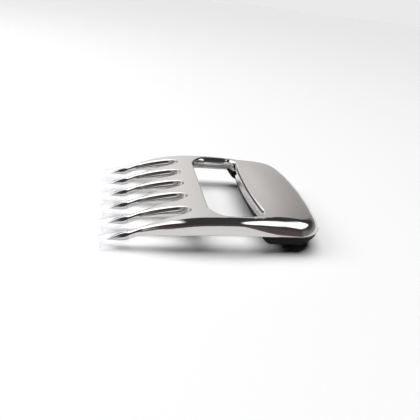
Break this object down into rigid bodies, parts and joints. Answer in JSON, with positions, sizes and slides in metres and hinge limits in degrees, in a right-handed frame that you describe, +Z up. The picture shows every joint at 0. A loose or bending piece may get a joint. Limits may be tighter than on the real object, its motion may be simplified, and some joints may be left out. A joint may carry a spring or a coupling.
{
  "type": "meat shredding claw",
  "caption": "Cast metal hand claw with curved tines, a finger opening, a domed palm handle on a moulded grip, and clear pull-off sleeves over the tine points.",
  "frame": {"origin": "on the surface the claw rests on, under the middle of its whole length with the tip guards on", "axes": "+X from the tine points back to the handle, +Y across the tines, +Z up from the resting surface"},
  "size_m": [0.1356, 0.1036, 0.0231],
  "materials": {
    "chrome": "polished chrome plate on a zinc die casting",
    "black_plastic": "fine-grained black ABS moulding",
    "screw_steel": "zinc-plated steel",
    "clear_sleeve": "clear soft PVC tube"
  },
  "bodies": {
    "claw": {"claw_body": "chrome", "grip": "black_plastic", "grip_screw_1": "screw_steel", "grip_screw_2": "screw_steel", "grip_screw_3": "screw_steel", "grip_screw_4": "screw_steel"},
    "tip_guard_1": {"tip_guard_1": "clear_sleeve"},
    "tip_guard_2": {"tip_guard_2": "clear_sleeve"},
    "tip_guard_3": {"tip_guard_3": "clear_sleeve"},
    "tip_guard_4": {"tip_guard_4": "clear_sleeve"},
    "tip_guard_5": {"tip_guard_5": "clear_sleeve"},
    "tip_guard_6": {"tip_guard_6": "clear_sleeve"}
  },
  "joints": [
    {"name": "tip_guard_1_slide", "type": "slide", "parent": "claw", "child": "tip_guard_1", "axis": [-0.9636, 0, -0.2672], "range_m": [0, 0.012]},
    {"name": "tip_guard_2_slide", "type": "slide", "parent": "claw", "child": "tip_guard_2", "axis": [-0.9636, 0, -0.2672], "range_m": [0, 0.012]},
    {"name": "tip_guard_3_slide", "type": "slide", "parent": "claw", "child": "tip_guard_3", "axis": [-0.9636, 0, -0.2672], "range_m": [0, 0.012]},
    {"name": "tip_guard_4_slide", "type": "slide", "parent": "claw", "child": "tip_guard_4", "axis": [-0.9636, 0, -0.2672], "range_m": [0, 0.012]},
    {"name": "tip_guard_5_slide", "type": "slide", "parent": "claw", "child": "tip_guard_5", "axis": [-0.9636, 0, -0.2672], "range_m": [0, 0.012]},
    {"name": "tip_guard_6_slide", "type": "slide", "parent": "claw", "child": "tip_guard_6", "axis": [-0.9636, 0, -0.2672], "range_m": [0, 0.012]}
  ]
}
